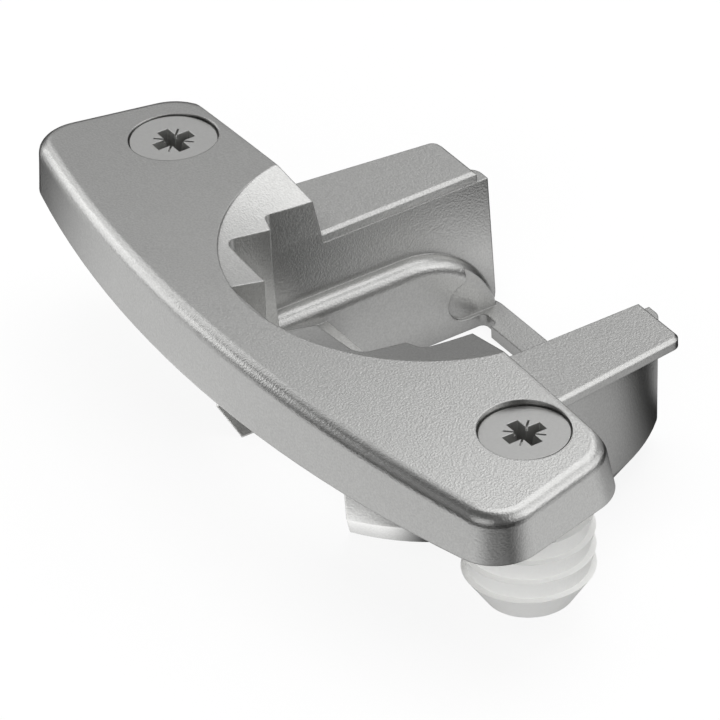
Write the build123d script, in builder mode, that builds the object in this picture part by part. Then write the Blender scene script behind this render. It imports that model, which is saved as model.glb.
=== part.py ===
from build123d import *
import math
import os

# Door-side cup of a concealed cabinet hinge: one zinc casting, held to the door by two
# countersunk screws that expand two ribbed dowels. Millimetres, +Z away from the door.
# The origin is the axis of the drilled cup hole, on the door's face. X runs along the
# screws and +Y points to the door's edge.

# Fixing pattern
screw_pitch = 48.0
screw_setback = 7.9

# Flange: a D-shaped plate with a slightly crowned top
flange_height = 5.4
crown_radius = 385.0
front_lip = 3.65
front_radius = 110.0
end_margin = 6.65
end_slant = 14.8
back_reach = 2.9
back_draft = 10.9
back_shave = 0.6
side_draft = 3.0
front_corner_radius = 3.6
back_corner_radius = 4.0
top_round = 1.1
back_corner_reach = 4.0

# Cup: the drum that sinks into the door
cup_radius = 17.2
cup_depth = 12.0
cup_draft = 2.0
cup_bevel_height = 2.55
cup_bevel_width = 1.8
rear_flat = 5.1
rear_corner_round = 1.2

# Sunken face around the cavity, and the stepped mouth of the cavity
rim_lip = 1.1
rim_drop = 0.3
rim_slope = 12.5
cavity_half_width = 10.9
pocket_half_width = 9.25
step_front = 8.04
tip_front = 8.5
pocket_front = 12.65
channel_half_width = 3.6
channel_front = 15.65
pocket_round = 1.1
notch_round = 0.7

# Inside of the cup: side walls, rails along their foot, bar and bridge
wall_draft = 3.0
rail_height = 7.8
rail_round = 1.2
rail_fall_start = 3.8
rail_fall_radius = 8.3
lobe_radius = 1.7
lobe_depth = 0.35
lobe_centre_y = 8.8
lobe_round = 0.6
bar_width = 2.4
bar_height = 1.05
relief_width = 1.85
relief_depth = 0.6
relief_round = 0.5
bridge_height = 6.1
bridge_rear = 3.9
bridge_front = 9.7
opening_half_width = 9.05
opening_foot_half_width = 7.54

# Arms: thin flat strips on the door's face at each side of the cavity
arm_reach = 11.15
arm_thickness = 0.9
arm_outer_root = 18.3
arm_outer_tip = 16.55
arm_corner_round = 0.9
arm_edge_bevel = 0.25

# Screws
head_radius = 3.37
head_edge = 0.25
head_sink = 0.3
head_gap = 0.14
shank_radius = 1.75
shank_gap = 0.25
shank_reach = 8.6
shank_point = 0.9
recess_half = 1.65
recess_width = 1.0
recess_depth = 1.7
recess_taper = 8.0
tick_inner = 0.7
tick_outer = 1.6
tick_width = 0.16
tick_depth = 0.3

# Dowels
dowel_crest_radius = 5.0
dowel_root_radius = 4.55
dowel_length = 9.8
dowel_tip_radius = 3.4
rib_pitch = 1.7
rib_count = 5
first_rib = 0.5
rib_shelf = 0.1


def rise(run, degrees):
    """Height gained over a run at an angle."""
    return run * math.tan(math.radians(degrees))


# Values that follow from the sizes above
front_reach = cup_radius + front_lip
rear_face = cup_radius - rear_flat
rim_radius = cup_radius - rim_lip
end_half_length = screw_pitch / 2 + end_margin
screw_x = screw_pitch / 2
screw_y = -screw_setback
crown_at_screw = flange_height - crown_radius + math.sqrt(crown_radius**2 - screw_x**2)
head_top = crown_at_screw - head_sink
hole_radius = head_radius + head_gap
shank_hole_radius = shank_radius + shank_gap
front_centre_y = front_radius - front_reach
rail_top = rail_height - cup_depth
bar_top = bar_height - cup_depth
fall_centre_z = rail_top - rail_fall_radius
fall_end = rail_fall_start + math.sqrt(rail_fall_radius**2 - (cup_depth + fall_centre_z) ** 2)
bevel_radius = cup_radius - rise(cup_depth - cup_bevel_height, cup_draft)
overcut = 5.0


def end_x(y):
    """Half length of the plate's foot along its slanted end."""
    return end_half_length - rise(y + screw_setback, end_slant)


def front_y(x):
    """Front arc of the plate's foot."""
    return front_centre_y - math.sqrt(front_radius**2 - x**2)


foot_corner_x = end_half_length
for _ in range(20):
    foot_corner_x = end_x(front_y(foot_corner_x))
foot_corner_y = front_y(foot_corner_x)

# Flange plate. The foot outline is raised with draft and cut to the crown, a sloping plane
# makes its back, and all its edges are rounded. A last cut along the back then takes most
# of the rounding off there, so that edge is nearly crisp.
with BuildPart() as flange:
    with BuildSketch() as foot:
        with BuildLine():
            Polyline(
                (foot_corner_x, foot_corner_y),
                (end_x(overcut), overcut),
                (-end_x(overcut), overcut),
                (-foot_corner_x, foot_corner_y),
            )
            ThreePointArc(
                (-foot_corner_x, foot_corner_y),
                (0, -front_reach),
                (foot_corner_x, foot_corner_y),
            )
        make_face()
        fillet(foot.vertices().group_by(Axis.Y)[0], front_corner_radius)
    extrude(amount=flange_height + overcut, taper=side_draft)
    with BuildSketch(Plane.XZ) as crown:
        with Locations((0, flange_height - crown_radius)):
            Circle(crown_radius)
    extrude(amount=front_reach + 2 * overcut, both=True, mode=Mode.INTERSECT)
    for back_y in (back_shave - back_reach, -back_reach):
        with BuildSketch(Plane.YZ) as back_cut:
            with BuildLine():
                Polyline(
                    (back_y + rise(overcut, back_draft), -overcut),
                    (back_y - rise(2 * overcut, back_draft), 2 * overcut),
                    (2 * overcut, 2 * overcut),
                    (2 * overcut, -overcut),
                    close=True,
                )
            make_face()
        extrude(amount=end_half_length + overcut, both=True, mode=Mode.SUBTRACT)
        if back_y > -back_reach:
            back_corners = flange.edges().filter_by(
                lambda edge: abs(edge.center().X) > end_half_length - back_corner_reach
                and edge.center().Y > -back_reach - back_corner_radius
                and edge.bounding_box().size.Z > flange_height / 2
            )
            fillet(back_corners, back_corner_radius)
            fillet(flange.faces().sort_by(Axis.Z)[-1].edges(), top_round)

# Drum: the cup's body below the door's face, with a bevel round its foot and a flat rear
with BuildPart() as drum:
    Cone(
        bevel_radius,
        cup_radius,
        cup_depth - cup_bevel_height,
        align=(Align.CENTER, Align.CENTER, Align.MAX),
    )
    with Locations((0, 0, cup_bevel_height - cup_depth)):
        Cone(
            bevel_radius - cup_bevel_width,
            bevel_radius,
            cup_bevel_height,
            align=(Align.CENTER, Align.CENTER, Align.MAX),
        )
    with Locations((0, rear_face, 0)):
        Box(
            2 * cup_radius,
            cup_radius,
            2 * cup_depth + overcut,
            align=(Align.CENTER, Align.MIN, Align.CENTER),
            mode=Mode.SUBTRACT,
        )
    rear_corners = drum.edges().filter_by(
        lambda edge: abs(edge.center().Y - rear_face) < 0.01 and edge.bounding_box().size.Z > cup_bevel_height - 0.01
    )
    fillet(rear_corners, rear_corner_round)

# Rails, rear bar and bridge: each rail's top runs level, then falls in an arc to the bar,
# and its inner edge is rounded. A shallow lobe is sunk in its rear end.
with BuildPart() as rails:
    with BuildSketch(Plane.YZ) as rail_profile:
        with BuildLine():
            Polyline(
                (rail_fall_start, rail_top),
                (-tip_front, rail_top),
                (-tip_front, -cup_depth),
                (fall_end, -cup_depth),
            )
            RadiusArc((rail_fall_start, rail_top), (fall_end, -cup_depth), rail_fall_radius)
        make_face()
    extrude(amount=cavity_half_width + 1, both=True)
    with Locations((0, 0, rail_top)):
        Box(
            2 * pocket_half_width,
            4 * cup_radius,
            rail_height,
            align=(Align.CENTER, Align.CENTER, Align.MAX),
            mode=Mode.SUBTRACT,
        )
    rail_edges = rails.edges().filter_by(
        lambda edge: abs(edge.center().X) < pocket_half_width + 0.01
        and edge.center().Z > bar_top + bar_height
        and edge.center().Y > -tip_front + 1
    )
    fillet(rail_edges, rail_round)
    with BuildSketch(Plane.YZ) as lobe:
        with Locations((lobe_centre_y, bar_top + lobe_radius)):
            Circle(lobe_radius)
        with Locations((lobe_centre_y, bar_top)):
            Rectangle(rear_face, rail_height, align=(Align.MIN, Align.MIN))
        lobe_top = (lobe_centre_y, bar_top + 2 * lobe_radius)
        fillet(lobe.vertices().sort_by_distance(lobe_top)[0], lobe_round)
    extrude(amount=pocket_half_width + lobe_depth, both=True, mode=Mode.SUBTRACT)
    with Locations((0, rear_face, bar_top)):
        Box(2 * cavity_half_width, bar_width, bar_height, align=(Align.CENTER, Align.MAX, Align.MAX))
    with BuildSketch(Plane.XY.offset(-cup_depth)) as reliefs:
        with Locations((pocket_half_width, rear_face - bar_width + relief_depth)):
            Rectangle(relief_width, bar_width, align=(Align.MAX, Align.MAX))
        fillet(reliefs.vertices().group_by(Axis.Y)[-1], relief_round)
        mirror(about=Plane.YZ)
    extrude(amount=bar_height, mode=Mode.SUBTRACT)
    with Locations((0, -bridge_rear, bridge_height - cup_depth)):
        Box(
            2 * cavity_half_width,
            bridge_front - bridge_rear,
            bridge_height,
            align=(Align.CENTER, Align.MAX, Align.MAX),
        )
    add(drum.part, mode=Mode.INTERSECT)

# Arms: flat strips on the door's face, with their top edges bevelled
with BuildPart() as arms:
    with BuildSketch() as arm:
        with BuildLine():
            Polyline(
                (cavity_half_width, -back_reach - overcut),
                (arm_outer_root, -back_reach - overcut),
                (arm_outer_root, -back_reach),
                (arm_outer_tip, arm_reach),
                (cavity_half_width, arm_reach),
                close=True,
            )
        make_face()
        fillet(arm.vertices().group_by(Axis.Y)[-1].sort_by(Axis.X)[-1], arm_corner_round)
    extrude(amount=arm_thickness)
    chamfer(arms.faces().sort_by(Axis.Z)[-1].edges().sort_by(Axis.Y)[1:], arm_edge_bevel)
    mirror(about=Plane.YZ)

# Screw seat: a bore for the head, a countersink and a bore for the shank
seat_z = head_top - head_edge - (head_radius - shank_radius)
with BuildPart() as screw_seat:
    with BuildSketch(Plane.XZ) as seat_profile:
        with BuildLine():
            Polyline(
                (0, -overcut),
                (shank_hole_radius, -overcut),
                (shank_hole_radius, seat_z + shank_gap),
                (hole_radius, head_top - head_edge + head_gap),
                (hole_radius, flange_height + overcut),
                (0, flange_height + overcut),
                close=True,
            )
        make_face()
    revolve(axis=Axis.Z)

# Cup casting: the sunken face and the cavity are cut from the drum and flange, then the
# arms are added and the rails, bar and bridge are put back across the cavity.
with BuildPart() as hinge_cup:
    add(drum.part)
    add(flange.part)
    with Locations((0, 0, flange_height - rim_drop)):
        Cone(
            pocket_half_width,
            rim_radius,
            rise(rim_radius - pocket_half_width, rim_slope),
            align=(Align.CENTER, Align.CENTER, Align.MAX),
            mode=Mode.SUBTRACT,
        )
        Cylinder(
            rim_radius,
            overcut,
            align=(Align.CENTER, Align.CENTER, Align.MIN),
            mode=Mode.SUBTRACT,
        )
    # Upper cavity, through the flange, with its stepped front and the channel
    with BuildSketch(Plane.XY.offset(arm_thickness)) as upper_cavity:
        with BuildLine():
            Polyline(
                (0, rear_face + overcut),
                (cavity_half_width, rear_face + overcut),
                (cavity_half_width, -step_front),
                (pocket_half_width, -tip_front),
                (pocket_half_width, -pocket_front),
                (channel_half_width, -pocket_front),
                (channel_half_width, -channel_front),
                (0, -channel_front),
                close=True,
            )
        make_face()
        step_corner = upper_cavity.vertices().sort_by_distance((cavity_half_width, -step_front))[0]
        fillet(step_corner, notch_round)
        pocket_corner = upper_cavity.vertices().sort_by_distance((pocket_half_width, -pocket_front))[0]
        fillet(pocket_corner, pocket_round)
        mirror(about=Plane.YZ)
    extrude(amount=flange_height, mode=Mode.SUBTRACT)
    # Space between the side walls, down through the bottom and out at the rear
    with BuildSketch(Plane.XY.offset(arm_thickness)) as walls:
        with Locations((0, -tip_front)):
            Rectangle(2 * cavity_half_width, 4 * cup_radius, align=(Align.CENTER, Align.MIN))
    extrude(amount=-arm_thickness - cup_depth - 1, taper=wall_draft, mode=Mode.SUBTRACT)
    # Pocket and channel, down through the flange to the level of the bridge
    with BuildSketch(Plane.XY.offset(arm_thickness)) as pocket:
        Rectangle(2 * pocket_half_width, pocket_front, align=(Align.CENTER, Align.MAX))
        fillet(pocket.vertices().group_by(Axis.Y)[0], pocket_round)
        Rectangle(2 * channel_half_width, channel_front, align=(Align.CENTER, Align.MAX))
    extrude(amount=bridge_height - cup_depth - arm_thickness, mode=Mode.SUBTRACT)
    # Opening at the front of the drum, narrower at its foot
    with BuildSketch(Plane.XZ.offset(bridge_front)) as opening:
        with BuildLine():
            Polyline(
                (-opening_half_width, 0),
                (opening_half_width, 0),
                (opening_half_width, cup_bevel_height - cup_depth),
                (opening_foot_half_width, -cup_depth),
                (-opening_foot_half_width, -cup_depth),
                (-opening_half_width, cup_bevel_height - cup_depth),
                close=True,
            )
        make_face()
    extrude(amount=cup_radius, mode=Mode.SUBTRACT)
    add(arms.part)
    add(rails.part)
    with Locations((-screw_x, screw_y, 0), (screw_x, screw_y, 0)):
        add(screw_seat.part, mode=Mode.SUBTRACT)
hinge_cup.part.label = "hinge_cup"

# Screw: a countersunk head with a cross recess and four fine ticks between its arms
with BuildPart() as screw:
    with BuildSketch(Plane.XZ) as screw_profile:
        with BuildLine():
            Polyline(
                (0, head_top),
                (head_radius, head_top),
                (head_radius, head_top - head_edge),
                (shank_radius, seat_z),
                (shank_radius, shank_point - shank_reach),
                (shank_radius - shank_point / 2, -shank_reach),
                (0, -shank_reach),
                close=True,
            )
        make_face()
    revolve(axis=Axis.Z)
    with BuildSketch(Plane.XY.offset(head_top)) as recess:
        Rectangle(2 * recess_half, recess_width)
        Rectangle(recess_width, 2 * recess_half)
    extrude(amount=-recess_depth, taper=recess_taper, mode=Mode.SUBTRACT)
    with BuildSketch(Plane.XY.offset(head_top)) as ticks:
        with Locations(Rot(0, 0, 45)):
            with GridLocations(tick_inner + tick_outer, 0, 2, 1):
                Rectangle(tick_outer - tick_inner, tick_width)
        with Locations(Rot(0, 0, -45)):
            with GridLocations(tick_inner + tick_outer, 0, 2, 1):
                Rectangle(tick_outer - tick_inner, tick_width)
    extrude(amount=-tick_depth, mode=Mode.SUBTRACT)

# Dowel: saw-tooth ribs with a short shelf on top and a long taper below, and a cone at
# the foot. The screw fills its bore.
rib_points = [(dowel_crest_radius, -first_rib)]
for rib in range(1, rib_count):
    crest_z = -first_rib - rib * rib_pitch
    rib_points += [(dowel_root_radius, crest_z + rib_shelf), (dowel_crest_radius, crest_z)]
with BuildPart() as dowel:
    with BuildSketch(Plane.XZ) as dowel_profile:
        with BuildLine():
            Polyline(
                (shank_radius, 0),
                (dowel_root_radius, 0),
                *rib_points,
                (dowel_tip_radius, -dowel_length),
                (shank_radius, -dowel_length),
                close=True,
            )
        make_face()
    revolve(axis=Axis.Z)

with BuildPart() as screw_left:
    with Locations((-screw_x, screw_y, 0)):
        add(screw.part)
screw_left.part.label = "screw_left"
with BuildPart() as screw_right:
    with Locations((screw_x, screw_y, 0)):
        add(screw.part)
screw_right.part.label = "screw_right"
with BuildPart() as dowel_left:
    with Locations((-screw_x, screw_y, 0)):
        add(dowel.part)
dowel_left.part.label = "dowel_left"
with BuildPart() as dowel_right:
    with Locations((screw_x, screw_y, 0)):
        add(dowel.part)
dowel_right.part.label = "dowel_right"

os.makedirs("parts", exist_ok=True)
export_step(hinge_cup.part, "parts/hinge_cup.step")
export_step(screw_left.part, "parts/screw_left.step")
export_step(screw_right.part, "parts/screw_right.step")
export_step(dowel_left.part, "parts/dowel_left.step")
export_step(dowel_right.part, "parts/dowel_right.step")
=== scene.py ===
import bpy
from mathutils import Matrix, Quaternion, Vector


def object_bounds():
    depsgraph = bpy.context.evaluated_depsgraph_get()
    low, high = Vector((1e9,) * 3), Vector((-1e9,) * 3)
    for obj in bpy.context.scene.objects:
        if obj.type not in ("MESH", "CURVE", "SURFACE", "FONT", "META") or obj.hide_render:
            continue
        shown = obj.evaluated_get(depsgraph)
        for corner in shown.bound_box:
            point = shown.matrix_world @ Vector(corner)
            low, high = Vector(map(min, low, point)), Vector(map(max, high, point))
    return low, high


# Door-side cup of a concealed hinge, with its two screws and two dowels, on a pale studio
# floor. The CAD nodes carry every shape. This script gives them their finish and builds
# the floor, the lights and the camera. Lengths are metres, in the part's own frame.

MM = 0.001

# Camera
CAMERA_PLACE = Vector((0.422781, -0.266189, 0.341235))
CAMERA_TURN = Quaternion((0.7832951, 0.3989621, 0.2359466, 0.4142551))
CAMERA_LENS = 402.18
CAMERA_SENSOR = 36.0
CAMERA_NEAR = 0.05
CAMERA_FAR = 20.0

# Finishes
ZINC_COLOR = (0.62, 0.62, 0.61, 1.0)
STEEL_COLOR = (0.66, 0.66, 0.65, 1.0)
NYLON_COLOR = (0.90, 0.90, 0.885, 1.0)
ZINC_ROUGHNESS = 0.305
STEEL_ROUGHNESS = 0.34
NYLON_ROUGHNESS = 0.43
METAL_GLOSS_SPREAD = 0.025
NYLON_GLOSS_SPREAD = 0.05
ZINC_EDGE_RADIUS = 0.17 * MM
STEEL_EDGE_RADIUS = 0.08 * MM
EDGE_SAMPLES = 4
# Grain: cells per metre, depth of the bump and share that it moves the colour
ZINC_GRAIN = (6200.0, 0.0075 * MM, 0.07)
STEEL_GRAIN = (4000.0, 0.002 * MM, 0.02)
NYLON_GRAIN_DEPTH = 0.01 * MM
# Part of the noise's range that the grain spreads over its whole depth
GRAIN_LOW = 0.3
GRAIN_HIGH = 0.7
GRAIN_DETAIL = 1.0
MOTTLE_DETAIL = 3.0
# Painted shade: the colour in hollows is darkened down to the tone where walls within the reach enclose
# them, standing in for the shade that falls there
PAINTED_SHADE_REACH = 2.5 * MM
PAINTED_SHADE_SAMPLES = 8
ZINC_PAINTED_SHADE_TONE = 0.46
STEEL_PAINTED_SHADE_TONE = 0.95

# Studio
FLOOR_HALF = 3.0
FLOOR_COLOR = (0.95, 0.95, 0.95, 1.0)
FLOOR_ROUGHNESS = 0.9
WHITE = (1.0, 1.0, 1.0, 1.0)
# Share of the floor's own shading that the camera sees. The rest is even white.
SHADOW_SHARE = 0.12
# Level of the floor for rays that aren't mirrored, and of the air round the part
FLOOR_LEVEL = 0.50
WORLD_LEVEL = 0.1

# Pools of light on the floor, as the metal mirrors it: the face that mirrors it, centre x
# and y, half width and half depth where the pool fades out, and level. A pool is even
# within its core share.
FLOOR_POOLS = [
    ("front_side", -0.013, -0.041, 0.067, 0.030, 0.74),
    ("front_round", -0.110, -0.090, 0.078, 0.078, 0.85),
    ("end_face", 0.056, 0.006, 0.032, 0.024, 0.30),
    ("drum_side", 0.036, 0.010, 0.026, 0.024, 0.45),
    ("end_round", 0.075, 0.040, 0.040, 0.035, 0.57),
    ("near_corner", 0.044, -0.030, 0.022, 0.020, 0.30),
    ("front_piece", -0.013, -0.020, 0.012, 0.009, 0.43),
    ("rail_face", -0.007, 0.007, 0.012, 0.016, 0.56),
    ("wall_rear", 0.002, 0.019, 0.009, 0.007, 0.55),
    ("wall_front", 0.004, 0.011, 0.007, 0.007, 0.20),
    ("front_bevel", 0.002, -0.014, 0.014, 0.008, 1.42),
]
POOL_CORE = 0.6

# Soft boxes that the metal mirrors: name, direction from the part, size and power in watts
LAMP_DISTANCE = 1.0
SOFT_BOXES = [
    ("left_low", (-0.86, -0.46, 0.22), 0.75, 2.1),
    ("left_middle", (-0.82, -0.06, 0.57), 0.60, 0.9),
    ("left_high", (-0.62, -0.05, 0.78), 0.60, 0.15),
    ("left_rear", (-0.734, 0.424, 0.53), 0.75, 0.54),
    ("rear_middle", (-0.424, 0.734, 0.53), 0.75, 0.42),
    ("rear_high", (-0.17, 0.43, 0.89), 0.75, 2.22),
    ("right_high", (0.375, 0.375, 0.848), 0.75, 0.46),
    ("right_rear", (0.424, 0.734, 0.53), 0.75, 1.06),
    ("right_middle", (0.734, 0.424, 0.53), 0.75, 1.12),
    ("rear_low", (0.15, 0.94, 0.30), 0.50, 0.35),
    ("right_low", (0.60, 0.78, 0.14), 0.60, 0.75),
    ("front_fill", (0.42, -0.85, 0.32), 0.75, 1.1),
    ("front_dim", (-0.48, -0.80, 0.36), 0.75, 0.2),
]

# Soft boxes that aren't mirrored. They light the floor and the pale dowels.
PLAIN_BOXES = [
    ("floor_lamp", (0.0, 0.0, 1.0), 0.75, 4.5),
    ("dowel_lamp", (0.62, -0.68, 0.40), 0.60, 4.4),
]


def new_material(name):
    """Empty node material with its output and a Principled shader."""
    material = bpy.data.materials.new(name)
    material.use_nodes = True
    tree = material.node_tree
    tree.nodes.clear()
    output = tree.nodes.new("ShaderNodeOutputMaterial")
    shader = tree.nodes.new("ShaderNodeBsdfPrincipled")
    tree.links.new(shader.outputs["BSDF"], output.inputs["Surface"])
    return material, tree, shader


def make_blasted_group():
    """Shader group: fine blasted grain, as a height and a tone on the colour, and wide mottle."""
    group = bpy.data.node_groups.new("blasted_surface", "ShaderNodeTree")
    for name, value in (("Grain Scale", 2500.0), ("Patch Scale", 220.0), ("Grain Tone", 0.09)):
        socket = group.interface.new_socket(name, in_out="INPUT", socket_type="NodeSocketFloat")
        socket.default_value = value
    group.interface.new_socket("Color", in_out="INPUT", socket_type="NodeSocketColor")
    group.interface.new_socket("Color", in_out="OUTPUT", socket_type="NodeSocketColor")
    group.interface.new_socket("Height", in_out="OUTPUT", socket_type="NodeSocketFloat")
    group.interface.new_socket("Mottle", in_out="OUTPUT", socket_type="NodeSocketFloat")
    nodes, links = group.nodes, group.links
    entry = nodes.new("NodeGroupInput")
    result = nodes.new("NodeGroupOutput")
    place = nodes.new("ShaderNodeTexCoord")
    grain = nodes.new("ShaderNodeTexNoise")
    grain.inputs["Detail"].default_value = GRAIN_DETAIL
    patch = nodes.new("ShaderNodeTexNoise")
    patch.inputs["Detail"].default_value = MOTTLE_DETAIL
    links.new(place.outputs["Object"], grain.inputs["Vector"])
    links.new(place.outputs["Object"], patch.inputs["Vector"])
    links.new(entry.outputs["Grain Scale"], grain.inputs["Scale"])
    links.new(entry.outputs["Patch Scale"], patch.inputs["Scale"])
    contrast = nodes.new("ShaderNodeMapRange")
    contrast.inputs["From Min"].default_value = GRAIN_LOW
    contrast.inputs["From Max"].default_value = GRAIN_HIGH
    links.new(grain.outputs["Fac"], contrast.inputs["Value"])
    darkest = nodes.new("ShaderNodeMath")
    darkest.operation = "SUBTRACT"
    darkest.inputs[0].default_value = 1.0
    links.new(entry.outputs["Grain Tone"], darkest.inputs[1])
    lightest = nodes.new("ShaderNodeMath")
    lightest.inputs[0].default_value = 1.0
    links.new(entry.outputs["Grain Tone"], lightest.inputs[1])
    tone = nodes.new("ShaderNodeMapRange")
    links.new(contrast.outputs["Result"], tone.inputs["Value"])
    links.new(darkest.outputs["Value"], tone.inputs["To Min"])
    links.new(lightest.outputs["Value"], tone.inputs["To Max"])
    shade = nodes.new("ShaderNodeVectorMath")
    shade.operation = "SCALE"
    links.new(entry.outputs["Color"], shade.inputs[0])
    links.new(tone.outputs["Result"], shade.inputs["Scale"])
    links.new(shade.outputs["Vector"], result.inputs["Color"])
    links.new(contrast.outputs["Result"], result.inputs["Height"])
    links.new(patch.outputs["Fac"], result.inputs["Mottle"])
    return group


def link_gloss(tree, surface, shader, roughness, spread):
    """Lets the mottle move the roughness to both sides of its middle."""
    gloss = tree.nodes.new("ShaderNodeMapRange")
    gloss.inputs["To Min"].default_value = roughness - spread
    gloss.inputs["To Max"].default_value = roughness + spread
    tree.links.new(surface.outputs["Mottle"], gloss.inputs["Value"])
    tree.links.new(gloss.outputs["Result"], shader.inputs["Roughness"])


def make_metal(name, group, color, roughness, edge_radius, painted_shade_tone, grain):
    """Satin metal: blasted grain as a bump and a tone, soft edges, uneven gloss, and painted shade that
    darkens the colour in hollows.
    """
    material, tree, shader = new_material(name)
    nodes, links = tree.nodes, tree.links
    shader.inputs["Metallic"].default_value = 1.0
    surface = nodes.new("ShaderNodeGroup")
    surface.node_tree = group
    grain_scale, grain_depth, grain_tone = grain
    surface.inputs["Grain Scale"].default_value = grain_scale
    surface.inputs["Grain Tone"].default_value = grain_tone
    surface.inputs["Color"].default_value = color
    edge = nodes.new("ShaderNodeBevel")
    edge.samples = EDGE_SAMPLES
    edge.inputs["Radius"].default_value = edge_radius
    bump = nodes.new("ShaderNodeBump")
    bump.inputs["Strength"].default_value = 1.0
    bump.inputs["Distance"].default_value = grain_depth
    links.new(surface.outputs["Height"], bump.inputs["Height"])
    links.new(edge.outputs["Normal"], bump.inputs["Normal"])
    links.new(bump.outputs["Normal"], shader.inputs["Normal"])
    link_gloss(tree, surface, shader, roughness, METAL_GLOSS_SPREAD)
    # Painted shade: occlusion darkens the base colour in hollows and narrow gaps, where shade falls
    painted_occlusion = nodes.new("ShaderNodeAmbientOcclusion")
    painted_occlusion.samples = PAINTED_SHADE_SAMPLES
    painted_occlusion.inputs["Distance"].default_value = PAINTED_SHADE_REACH
    shade = nodes.new("ShaderNodeMapRange")
    shade.inputs["To Min"].default_value = painted_shade_tone
    links.new(painted_occlusion.outputs["AO"], shade.inputs["Value"])
    painted_shade_color = nodes.new("ShaderNodeVectorMath")
    painted_shade_color.operation = "SCALE"
    links.new(surface.outputs["Color"], painted_shade_color.inputs[0])
    links.new(shade.outputs["Result"], painted_shade_color.inputs["Scale"])
    links.new(painted_shade_color.outputs["Vector"], shader.inputs["Base Color"])
    return material


def make_nylon(name, group):
    """Pale moulded nylon with a slightly uneven gloss."""
    material, tree, shader = new_material(name)
    nodes, links = tree.nodes, tree.links
    surface = nodes.new("ShaderNodeGroup")
    surface.node_tree = group
    bump = nodes.new("ShaderNodeBump")
    bump.inputs["Distance"].default_value = NYLON_GRAIN_DEPTH
    links.new(surface.outputs["Height"], bump.inputs["Height"])
    links.new(bump.outputs["Normal"], shader.inputs["Normal"])
    link_gloss(tree, surface, shader, NYLON_ROUGHNESS, NYLON_GLOSS_SPREAD)
    shader.inputs["Base Color"].default_value = NYLON_COLOR
    return material


def dress(node, material):
    """Gives a CAD node its finish."""
    node.data.materials.clear()
    node.data.materials.append(material)


def link_pool(tree, spot, height, pool):
    """Level of one pool of light at each spot of the floor."""
    nodes, links = tree.nodes, tree.links
    name, x, y, half_width, half_depth, strength = pool
    move = nodes.new("ShaderNodeMapping")
    move.label = name
    move.vector_type = "TEXTURE"
    move.inputs["Location"].default_value = (x, y, height)
    move.inputs["Scale"].default_value = (half_width, half_depth, 1.0)
    links.new(spot.outputs["Position"], move.inputs["Vector"])
    away = nodes.new("ShaderNodeVectorMath")
    away.operation = "LENGTH"
    links.new(move.outputs["Vector"], away.inputs[0])
    fade = nodes.new("ShaderNodeMapRange")
    fade.interpolation_type = "SMOOTHSTEP"
    fade.inputs["From Min"].default_value = POOL_CORE
    fade.inputs["From Max"].default_value = 1.0
    fade.inputs["To Min"].default_value = strength
    fade.inputs["To Max"].default_value = 0.0
    links.new(away.outputs["Value"], fade.inputs["Value"])
    return fade.outputs["Result"]


def make_floor_material(height):
    """White with some of the part's shadow to the camera, pools to the metal, even light else."""
    material, tree, shader = new_material("floor_white")
    nodes, links = tree.nodes, tree.links
    shader.inputs["Base Color"].default_value = FLOOR_COLOR
    shader.inputs["Roughness"].default_value = FLOOR_ROUGHNESS
    white = nodes.new("ShaderNodeEmission")
    white.inputs["Color"].default_value = WHITE
    seen = nodes.new("ShaderNodeMixShader")
    seen.inputs["Fac"].default_value = 1.0 - SHADOW_SHARE
    links.new(shader.outputs["BSDF"], seen.inputs[1])
    links.new(white.outputs["Emission"], seen.inputs[2])
    spot = nodes.new("ShaderNodeNewGeometry")
    level = link_pool(tree, spot, height, FLOOR_POOLS[0])
    for pool in FLOOR_POOLS[1:]:
        total = nodes.new("ShaderNodeMath")
        links.new(level, total.inputs[0])
        links.new(link_pool(tree, spot, height, pool), total.inputs[1])
        level = total.outputs["Value"]
    pools = nodes.new("ShaderNodeEmission")
    links.new(level, pools.inputs["Strength"])
    even = nodes.new("ShaderNodeEmission")
    even.inputs["Strength"].default_value = FLOOR_LEVEL
    path = nodes.new("ShaderNodeLightPath")
    mirrored = nodes.new("ShaderNodeMixShader")
    links.new(path.outputs["Is Glossy Ray"], mirrored.inputs["Fac"])
    links.new(even.outputs["Emission"], mirrored.inputs[1])
    links.new(pools.outputs["Emission"], mirrored.inputs[2])
    pick = nodes.new("ShaderNodeMixShader")
    links.new(path.outputs["Is Camera Ray"], pick.inputs["Fac"])
    links.new(mirrored.outputs["Shader"], pick.inputs[1])
    links.new(seen.outputs["Shader"], pick.inputs[2])
    output = next(node for node in nodes if node.type == "OUTPUT_MATERIAL")
    links.new(pick.outputs["Shader"], output.inputs["Surface"])
    return material


def make_floor(height):
    """Square pale floor under the part."""
    mesh = bpy.data.meshes.new("floor")
    signs = [(-1, -1), (1, -1), (1, 1), (-1, 1)]
    corners = [(x * FLOOR_HALF, y * FLOOR_HALF, height) for x, y in signs]
    mesh.from_pydata(corners, [], [(0, 1, 2, 3)])
    floor = bpy.data.objects.new("floor", mesh)
    bpy.context.scene.collection.objects.link(floor)
    mesh.materials.append(make_floor_material(height))


def make_world():
    """Dim even studio air that shows as white to the camera."""
    world = bpy.data.worlds.new("studio_air")
    bpy.context.scene.world = world
    world.use_nodes = True
    nodes, links = world.node_tree.nodes, world.node_tree.links
    nodes.clear()
    output = nodes.new("ShaderNodeOutputWorld")
    air = nodes.new("ShaderNodeBackground")
    air.inputs["Color"].default_value = WHITE
    air.inputs["Strength"].default_value = WORLD_LEVEL
    white = nodes.new("ShaderNodeBackground")
    white.inputs["Color"].default_value = WHITE
    white.inputs["Strength"].default_value = 1.0
    path = nodes.new("ShaderNodeLightPath")
    mix = nodes.new("ShaderNodeMixShader")
    links.new(path.outputs["Is Camera Ray"], mix.inputs["Fac"])
    links.new(air.outputs["Background"], mix.inputs[1])
    links.new(white.outputs["Background"], mix.inputs[2])
    links.new(mix.outputs["Shader"], output.inputs["Surface"])


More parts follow.
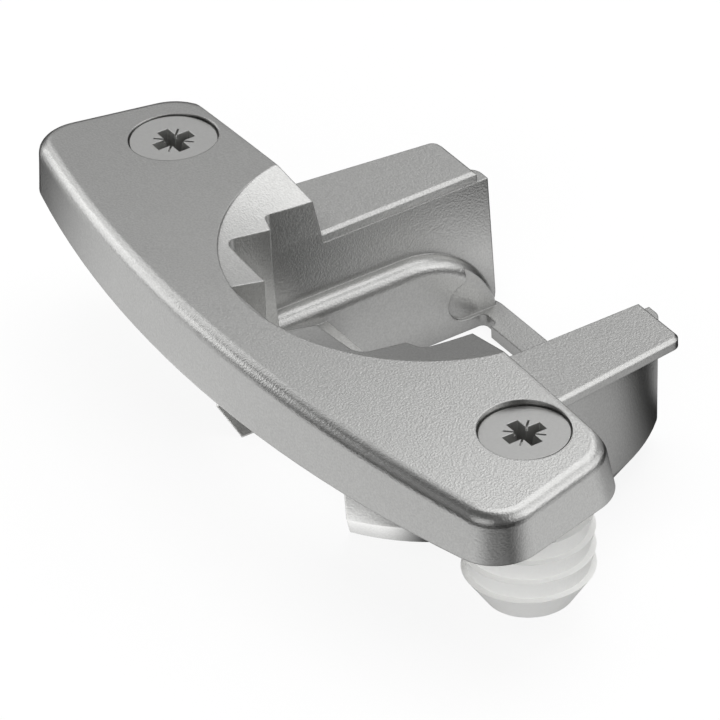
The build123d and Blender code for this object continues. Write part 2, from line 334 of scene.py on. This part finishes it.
def make_soft_box(name, direction, size, power, aim, mirrored):
    """Square area lamp that faces the part, and that the metal mirrors or not."""
    light = bpy.data.lights.new(name, "AREA")
    light.shape = "SQUARE"
    light.size = size
    light.energy = power
    lamp = bpy.data.objects.new(name, light)
    bpy.context.scene.collection.objects.link(lamp)
    toward = Vector(direction).normalized()
    lamp.location = aim + toward * LAMP_DISTANCE
    lamp.rotation_mode = "QUATERNION"
    lamp.rotation_quaternion = toward.to_track_quat("Z", "Y")
    lamp.visible_glossy = mirrored


def make_camera():
    """Long lens at the photo's angle."""
    data = bpy.data.cameras.new("camera")
    data.lens = CAMERA_LENS
    data.sensor_width = CAMERA_SENSOR
    data.clip_start = CAMERA_NEAR
    data.clip_end = CAMERA_FAR
    camera = bpy.data.objects.new("camera", data)
    bpy.context.scene.collection.objects.link(camera)
    camera.location = CAMERA_PLACE
    camera.rotation_mode = "QUATERNION"
    camera.rotation_quaternion = CAMERA_TURN
    bpy.context.scene.camera = camera


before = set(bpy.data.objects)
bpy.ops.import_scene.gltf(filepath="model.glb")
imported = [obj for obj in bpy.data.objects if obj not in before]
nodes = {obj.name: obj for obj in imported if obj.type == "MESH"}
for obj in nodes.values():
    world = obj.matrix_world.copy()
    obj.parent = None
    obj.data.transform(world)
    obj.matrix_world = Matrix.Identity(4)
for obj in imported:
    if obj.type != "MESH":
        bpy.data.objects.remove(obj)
size_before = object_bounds()

blasted = make_blasted_group()
zinc = make_metal(
    "cast_zinc", blasted, ZINC_COLOR, ZINC_ROUGHNESS, ZINC_EDGE_RADIUS, ZINC_PAINTED_SHADE_TONE, ZINC_GRAIN
)
steel = make_metal(
    "screw_steel", blasted, STEEL_COLOR, STEEL_ROUGHNESS, STEEL_EDGE_RADIUS, STEEL_PAINTED_SHADE_TONE, STEEL_GRAIN
)
nylon = make_nylon("dowel_nylon", blasted)
dress(nodes["hinge_cup"], zinc)
dress(nodes["screw_left"], steel)
dress(nodes["screw_right"], steel)
dress(nodes["dowel_left"], nylon)
dress(nodes["dowel_right"], nylon)

lowest, highest = size_before
centre = (lowest + highest) / 2
make_floor(lowest.z)
make_world()
for name, direction, size, power in SOFT_BOXES:
    make_soft_box(name, direction, size, power, centre, mirrored=True)
for name, direction, size, power in PLAIN_BOXES:
    make_soft_box(name, direction, size, power, centre, mirrored=False)
make_camera()

bpy.context.scene.view_settings.view_transform = "Standard"
